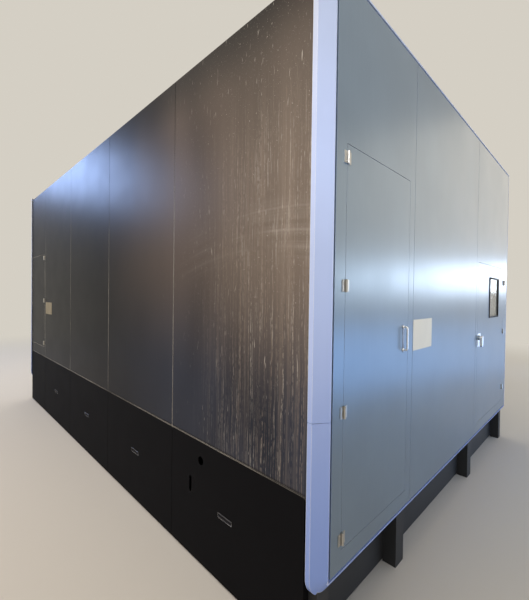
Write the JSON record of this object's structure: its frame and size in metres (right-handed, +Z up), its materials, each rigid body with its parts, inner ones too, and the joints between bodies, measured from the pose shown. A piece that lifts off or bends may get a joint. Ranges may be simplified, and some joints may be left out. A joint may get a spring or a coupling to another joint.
{
  "type": "vertical machining center",
  "caption": "Large enclosed vertical machining center with a travelling column, fixed T-slot table, side service doors, sliding front doors, tool carousel and swivelling pendant",
  "frame": {"origin": "on the floor, at the centre of the four anchor bolts", "axes": "+X is the operator's right, -Y the front with the sliding doors, +Z up"},
  "size_m": [5.2883, 3.8628, 2.937],
  "materials": {
    "trim_paint": "pale blue-silver powder coat, satin",
    "side_paint": "silver-grey metallic powder coat, satin",
    "rear_paint": "charcoal powder coat, satin, with dried coolant runs",
    "grip_metal": "charcoal powder coat, bright worn lip",
    "frame_paint": "black powder coat, matt",
    "hinge_metal": "zinc-plated steel",
    "pull_metal": "satin anodised",
    "casting_paint": "pale grey machine enamel on cast iron",
    "machined_steel": "ground steel",
    "machined_iron": "milled grey iron",
    "liner_steel": "folded stainless sheet",
    "motor_paint": "dark grey enamel",
    "drive_plastic": "moulded grey",
    "window_rubber": "black edge rubber",
    "window_glass": "laminated safety glass, slightly hazed",
    "carousel_aluminium": "machined",
    "key_plastic": "moulded black",
    "red_plastic": "moulded red",
    "green_plastic": "moulded green",
    "amber_plastic": "moulded amber"
  },
  "bodies": {
    "enclosure": {"trim_left_upper": "trim_paint", "trim_left_lower": "trim_paint", "trim_right": "trim_paint", "panel_left_front": "side_paint", "panel_left_middle": "side_paint", "panel_left_rear": "side_paint", "panels_right": "side_paint", "rear_panels": "rear_paint", "rear_lower_panels": "rear_paint", "panel_grips": "grip_metal", "roof_panels": "rear_paint", "front_panels": "side_paint", "frame_posts": "frame_paint", "frame_beams": "frame_paint", "side_skirts": "frame_paint", "hinge_frame_leaves": "hinge_metal", "bed": "casting_paint", "levelling_feet": "machined_steel", "x_guides": "machined_steel", "table": "machined_iron", "splash_wall": "liner_steel", "chip_trough": "liner_steel", "auger_motor": "motor_paint", "hydraulic_unit": "motor_paint", "electrical_cabinet": "liner_steel", "drive_modules": "drive_plastic", "magazine_beam": "casting_paint", "pendant_bracket": "frame_paint"},
    "service_door": {"service_door": "side_paint", "service_door_leaves": "hinge_metal", "service_door_pull": "pull_metal"},
    "magazine_door": {"magazine_door": "side_paint", "magazine_door_leaves": "hinge_metal", "magazine_window_frame": "window_rubber", "magazine_window": "window_glass"},
    "magazine_latch": {"magazine_latch": "pull_metal"},
    "rear_door": {"rear_door": "rear_paint", "rear_door_leaves": "hinge_metal"},
    "front_door_left": {"front_door_left": "side_paint", "front_window_left": "window_glass"},
    "front_door_right": {"front_door_right": "side_paint", "front_window_right": "window_glass"},
    "column": {"column": "casting_paint", "column_guide_blocks": "machined_steel"},
    "ram": {"ram": "casting_paint", "ram_guides": "machined_steel"},
    "head": {"spindle_head": "casting_paint", "head_rails": "machined_steel"},
    "spindle": {"spindle": "machined_steel"},
    "magazine_carriage": {"magazine_carriage": "casting_paint"},
    "carousel": {"carousel": "carousel_aluminium", "tool_holders": "machined_steel"},
    "chip_auger": {"chip_auger": "machined_steel"},
    "pendant_arm": {"pendant_arm": "frame_paint"},
    "pendant": {"pendant_housing": "side_paint", "pendant_panel": "key_plastic"},
    "emergency_stop": {"emergency_stop": "red_plastic"},
    "cycle_start": {"cycle_start": "green_plastic"},
    "feed_hold": {"feed_hold": "amber_plastic"},
    "override_knob": {"override_knob": "key_plastic"}
  },
  "joints": [
    {"name": "service_door_swing", "type": "hinge", "parent": "enclosure", "child": "service_door", "pos_m": [-2.632, 1.6145, 1.34], "axis": [0, 0, -1], "range_deg": [0, 110]},
    {"name": "magazine_door_swing", "type": "hinge", "parent": "enclosure", "child": "magazine_door", "pos_m": [-2.632, -1.5405, 1.17], "axis": [0, 0, 1], "range_deg": [0, 100]},
    {"name": "magazine_latch_turn", "type": "hinge", "parent": "magazine_door", "child": "magazine_latch", "pos_m": [-2.652, -0.56, 1.219], "axis": [1, 0, 0], "range_deg": [0, 90]},
    {"name": "rear_door_swing", "type": "hinge", "parent": "enclosure", "child": "rear_door", "pos_m": [1.8485, 1.777, 1.45], "axis": [0, 0, 1], "range_deg": [0, 110]},
    {"name": "front_door_left_slide", "type": "slide", "parent": "enclosure", "child": "front_door_left", "axis": [-1, 0, 0], "range_m": [0, 1.19]},
    {"name": "front_door_right_slide", "type": "slide", "parent": "enclosure", "child": "front_door_right", "axis": [1, 0, 0], "range_m": [0, 1.19]},
    {"name": "x_axis", "type": "slide", "parent": "enclosure", "child": "column", "axis": [1, 0, 0], "range_m": [-1.5, 1.5]},
    {"name": "y_axis", "type": "slide", "parent": "column", "child": "ram", "axis": [0, 1, 0], "range_m": [-0.4, 0.4]},
    {"name": "z_axis", "type": "slide", "parent": "ram", "child": "head", "axis": [0, 0, 1], "range_m": [-0.68, 0]},
    {"name": "spindle_spin", "type": "hinge", "parent": "head", "child": "spindle", "pos_m": [0, -0.84, 1.75], "axis": [0, 0, 1], "continuous": true},
    {"name": "magazine_slide", "type": "slide", "parent": "enclosure", "child": "magazine_carriage", "axis": [1, 0, 0], "range_m": [0, 0.3]},
    {"name": "carousel_spin", "type": "hinge", "parent": "magazine_carriage", "child": "carousel", "pos_m": [-2.16, -0.89, 1.66], "axis": [0, 0, 1], "continuous": true},
    {"name": "auger_spin", "type": "hinge", "parent": "enclosure", "child": "chip_auger", "pos_m": [0, -1.42, 0.47], "axis": [1, 0, 0], "continuous": true},
    {"name": "pendant_arm_swing", "type": "hinge", "parent": "enclosure", "child": "pendant_arm", "pos_m": [1.9, -2, 2.36], "axis": [0, 0, 1], "range_deg": [0, 100]},
    {"name": "pendant_turn", "type": "hinge", "parent": "pendant_arm", "child": "pendant", "pos_m": [1.38, -2, 1.8], "axis": [0, 0, 1], "range_deg": [-40, 40]},
    {"name": "emergency_stop_push", "type": "slide", "parent": "pendant", "child": "emergency_stop", "axis": [0, 1, 0], "range_m": [0, 0.004]},
    {"name": "cycle_start_push", "type": "slide", "parent": "pendant", "child": "cycle_start", "axis": [0, 1, 0], "range_m": [0, 0.004], "stiffness_N_per_m": 400},
    {"name": "feed_hold_push", "type": "slide", "parent": "pendant", "child": "feed_hold", "axis": [0, 1, 0], "range_m": [0, 0.004], "stiffness_N_per_m": 400},
    {"name": "override_knob_turn", "type": "hinge", "parent": "pendant", "child": "override_knob", "pos_m": [1.51, -2.055, 1.235], "axis": [0, 1, 0], "range_deg": [-135, 135]}
  ]
}
